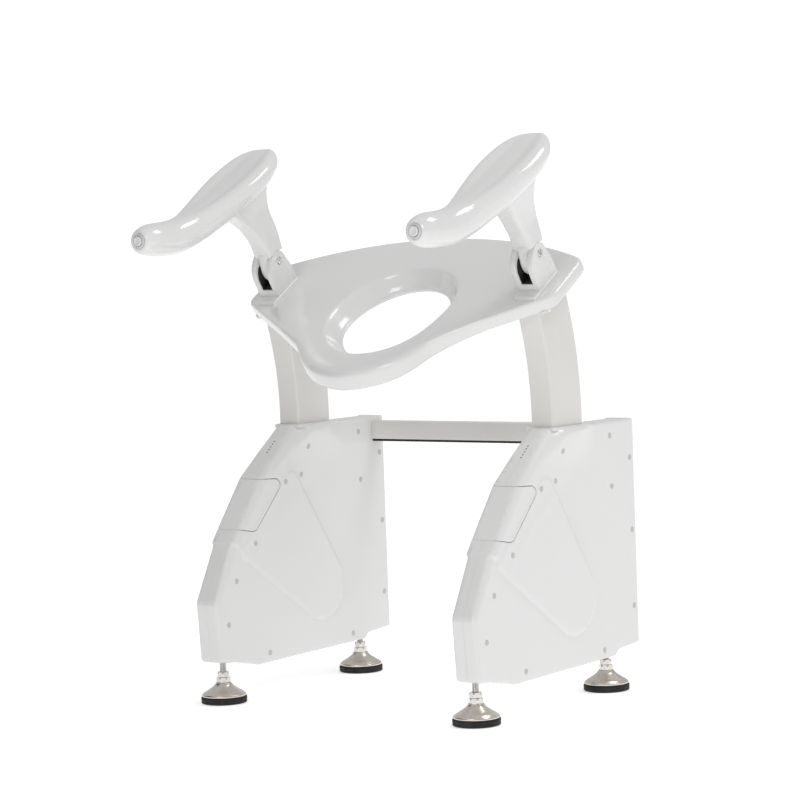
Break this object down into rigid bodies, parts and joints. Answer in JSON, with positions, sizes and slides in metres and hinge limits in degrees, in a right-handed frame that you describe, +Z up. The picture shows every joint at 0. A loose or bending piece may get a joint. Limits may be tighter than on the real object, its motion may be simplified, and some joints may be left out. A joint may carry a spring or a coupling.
{
  "type": "powered toilet lift",
  "caption": "Freestanding battery toilet lift: two columns on levelling feet raise a glossy seat on curved arms, with fold-up armrests and thumb buttons.",
  "frame": {"origin": "on the floor, in the middle of the whole stool from side to side and from front to rear", "axes": "+X to the user's left hand side as seen from the front (the viewer's right), +Y to the rear, +Z up"},
  "size_m": [0.715, 0.626, 0.9857],
  "materials": {
    "painted_arm": "satin",
    "rubber": "matte",
    "battery_case": "matte",
    "frame_steel": "satin",
    "cover_gloss": "gloss",
    "indicator_lens": "gloss",
    "screw_cap_grey": "matte",
    "gearmotor_metal": "cast",
    "machined_steel": "machined",
    "seat_gloss": "high gloss",
    "polished_steel": "polished",
    "bracket_paint": "gloss",
    "armrest_gloss": "high gloss",
    "bezel_grey": "gloss",
    "button_plastic": "gloss",
    "roller_plastic": "matte"
  },
  "bodies": {
    "base": {"crossbar": "painted_arm", "crossbar_cable_strip": "rubber", "charge_sockets": "battery_case", "left_frame": "frame_steel", "left_inner_cover": "cover_gloss", "left_outer_cover": "cover_gloss", "left_top_cap": "cover_gloss", "left_battery_pack": "battery_case", "left_indicator_lights": "indicator_lens", "left_cover_screws": "screw_cap_grey", "left_gearmotor": "gearmotor_metal", "left_roller_axles": "machined_steel", "right_frame": "frame_steel", "right_inner_cover": "cover_gloss", "right_outer_cover": "cover_gloss", "right_top_cap": "cover_gloss", "right_battery_pack": "battery_case", "right_indicator_lights": "indicator_lens", "right_cover_screws": "screw_cap_grey", "right_gearmotor": "gearmotor_metal", "right_roller_axles": "machined_steel"},
    "lift": {"seat": "seat_gloss", "seat_bolts": "polished_steel", "left_lift_arm": "painted_arm", "left_rack": "machined_steel", "left_armrest_bracket": "bracket_paint", "left_hinge_pin": "polished_steel", "right_lift_arm": "painted_arm", "right_rack": "machined_steel", "right_armrest_bracket": "bracket_paint", "right_hinge_pin": "polished_steel"},
    "left armrest": {"left_armrest_post": "armrest_gloss", "left_armrest_pad": "armrest_gloss", "left_button_bezel": "bezel_grey"},
    "left button": {"left_button": "button_plastic"},
    "left battery door": {"left_battery_door": "cover_gloss"},
    "left pinion": {"left_pinion": "machined_steel"},
    "left front roller": {"left_front_roller": "roller_plastic"},
    "left rear roller": {"left_rear_roller": "roller_plastic"},
    "left front foot": {"left_front_foot_stem": "polished_steel", "left_front_foot_base": "polished_steel", "left_front_foot_pad": "rubber"},
    "left rear foot": {"left_rear_foot_stem": "polished_steel", "left_rear_foot_base": "polished_steel", "left_rear_foot_pad": "rubber"},
    "right armrest": {"right_armrest_post": "armrest_gloss", "right_armrest_pad": "armrest_gloss", "right_button_bezel": "bezel_grey"},
    "right button": {"right_button": "button_plastic"},
    "right battery door": {"right_battery_door": "cover_gloss"},
    "right pinion": {"right_pinion": "machined_steel"},
    "right front roller": {"right_front_roller": "roller_plastic"},
    "right rear roller": {"right_rear_roller": "roller_plastic"},
    "right front foot": {"right_front_foot_stem": "polished_steel", "right_front_foot_base": "polished_steel", "right_front_foot_pad": "rubber"},
    "right rear foot": {"right_rear_foot_stem": "polished_steel", "right_rear_foot_base": "polished_steel", "right_rear_foot_pad": "rubber"}
  },
  "joints": [
    {"name": "seat lift", "type": "hinge", "parent": "base", "child": "lift", "pos_m": [0, -0.489, 0.495], "axis": [1, 0, 0], "range_deg": [-20, 0]},
    {"name": "left armrest fold", "type": "hinge", "parent": "lift", "child": "left armrest", "pos_m": [-0.286, 0.03221, 0.78159], "axis": [-1, 0, 0], "range_deg": [0, 60]},
    {"name": "left button press", "type": "slide", "parent": "left armrest", "child": "left button", "axis": [0, 1, 0], "range_m": [0, 0.002], "stiffness_N_per_m": 400},
    {"name": "left battery door removal", "type": "slide", "parent": "base", "child": "left battery door", "axis": [0, -0.9979, 0.0649], "range_m": [0, 0.06]},
    {"name": "left pinion turn", "type": "hinge", "parent": "base", "child": "left pinion", "pos_m": [-0.28, 0.16738, 0.42601], "axis": [1, 0, 0], "range_deg": [0, 713.83]},
    {"name": "left front roller turn", "type": "hinge", "parent": "base", "child": "left front roller", "pos_m": [-0.28, 0.04248, 0.42031], "axis": [1, 0, 0], "range_deg": [-736.5, 0]},
    {"name": "left rear roller turn", "type": "hinge", "parent": "base", "child": "left rear roller", "pos_m": [-0.28, 0.15565, 0.35208], "axis": [1, 0, 0], "range_deg": [0, 860.5]},
    {"name": "left front foot height", "type": "slide", "parent": "base", "child": "left front foot", "axis": [0, 0, 1], "range_m": [-0.012, 0.01]},
    {"name": "left rear foot height", "type": "slide", "parent": "base", "child": "left rear foot", "axis": [0, 0, 1], "range_m": [-0.012, 0.01]},
    {"name": "right armrest fold", "type": "hinge", "parent": "lift", "child": "right armrest", "pos_m": [0.286, 0.03221, 0.78159], "axis": [-1, 0, 0], "range_deg": [0, 60]},
    {"name": "right button press", "type": "slide", "parent": "right armrest", "child": "right button", "axis": [0, 1, 0], "range_m": [0, 0.002], "stiffness_N_per_m": 400},
    {"name": "right battery door removal", "type": "slide", "parent": "base", "child": "right battery door", "axis": [0, -0.9979, 0.0649], "range_m": [0, 0.06]},
    {"name": "right pinion turn", "type": "hinge", "parent": "base", "child": "right pinion", "pos_m": [0.28, 0.16738, 0.42601], "axis": [1, 0, 0], "range_deg": [0, 713.83]},
    {"name": "right front roller turn", "type": "hinge", "parent": "base", "child": "right front roller", "pos_m": [0.28, 0.04248, 0.42031], "axis": [1, 0, 0], "range_deg": [-736.5, 0]},
    {"name": "right rear roller turn", "type": "hinge", "parent": "base", "child": "right rear roller", "pos_m": [0.28, 0.15565, 0.35208], "axis": [1, 0, 0], "range_deg": [0, 860.5]},
    {"name": "right front foot height", "type": "slide", "parent": "base", "child": "right front foot", "axis": [0, 0, 1], "range_m": [-0.012, 0.01]},
    {"name": "right rear foot height", "type": "slide", "parent": "base", "child": "right rear foot", "axis": [0, 0, 1], "range_m": [-0.012, 0.01]}
  ],
  "couplings": [
    {"joint": "left pinion turn", "follows": "seat lift", "ratio": -35.667},
    {"joint": "left front roller turn", "follows": "seat lift", "ratio": 36.8},
    {"joint": "left rear roller turn", "follows": "seat lift", "ratio": -43},
    {"joint": "right pinion turn", "follows": "seat lift", "ratio": -35.667},
    {"joint": "right front roller turn", "follows": "seat lift", "ratio": 36.8},
    {"joint": "right rear roller turn", "follows": "seat lift", "ratio": -43}
  ]
}
